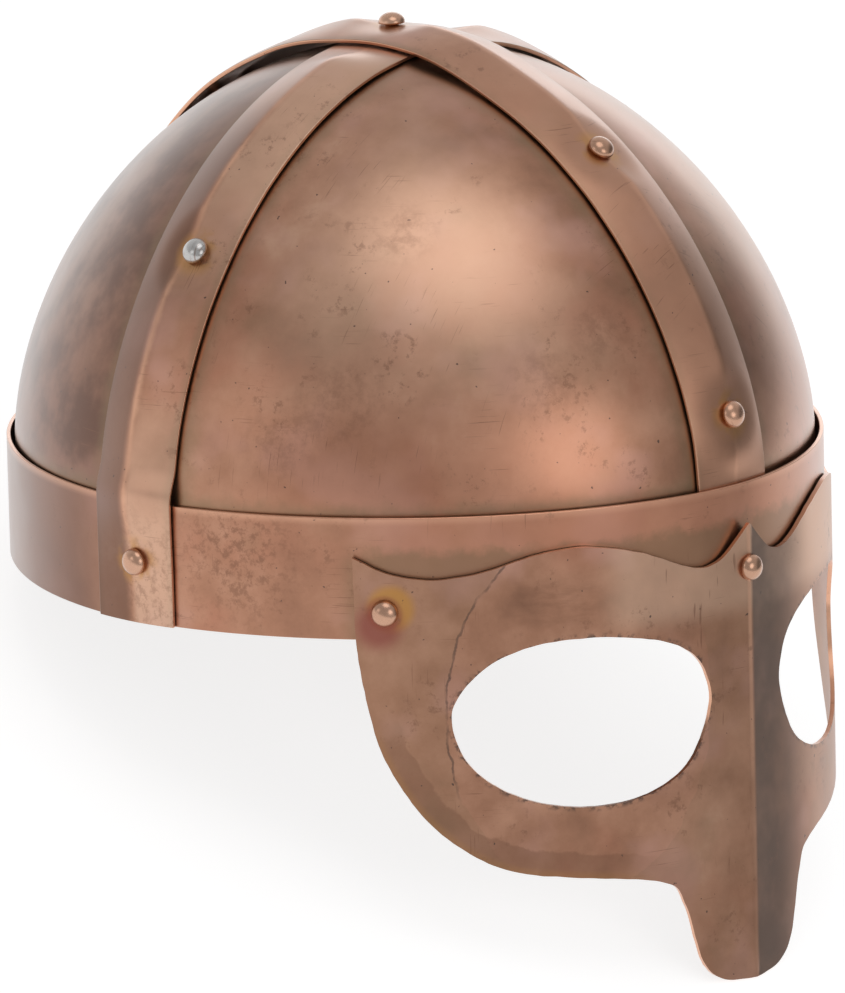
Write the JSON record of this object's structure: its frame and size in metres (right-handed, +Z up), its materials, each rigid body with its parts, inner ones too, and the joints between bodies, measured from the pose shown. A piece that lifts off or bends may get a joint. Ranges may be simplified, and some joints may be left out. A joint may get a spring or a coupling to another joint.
{
  "type": "spangenhelm helmet",
  "caption": "Riveted sheet-metal spangenhelm with skull plates, ridged cross straps, a brow band and a spectacle face guard with nasal.",
  "frame": {"origin": "on the floor under the middle of the helmet's outline, as it rests on its nasal tip and rear rim", "axes": "+Z up, the face guard towards -Y, the wearer's left towards +X"},
  "size_m": [0.2356, 0.284, 0.1907],
  "materials": {
    "plates": "aged copper-brown finish on steel sheet, cloudy, darker and olive along the seams",
    "straps": "aged copper-brown finish on steel sheet, bright along the ridge and the edges",
    "band": "aged copper-brown finish on steel sheet, with dark speckles",
    "guard": "aged copper-brown finish on steel sheet, stained and scratched, with a darker nasal",
    "rivets": "polished aged-copper rivet heads"
  },
  "bodies": {
    "root": {"plate_front_right": "plates", "plate_front_left": "plates", "plate_rear_right": "plates", "plate_rear_left": "plates", "front_back_strap": "straps", "side_strap": "straps", "brow_band": "band", "spectacle_guard": "guard", "rivet_crown": "rivets", "rivet_front_upper": "rivets", "rivet_front_lower": "rivets", "rivet_rear_upper": "rivets", "rivet_rear_lower": "rivets", "rivet_right_upper": "rivets", "rivet_right_lower": "rivets", "rivet_left_upper": "rivets", "rivet_left_lower": "rivets", "rivet_guard_centre": "rivets", "rivet_guard_right": "rivets", "rivet_guard_left": "rivets"}
  },
  "joints": []
}
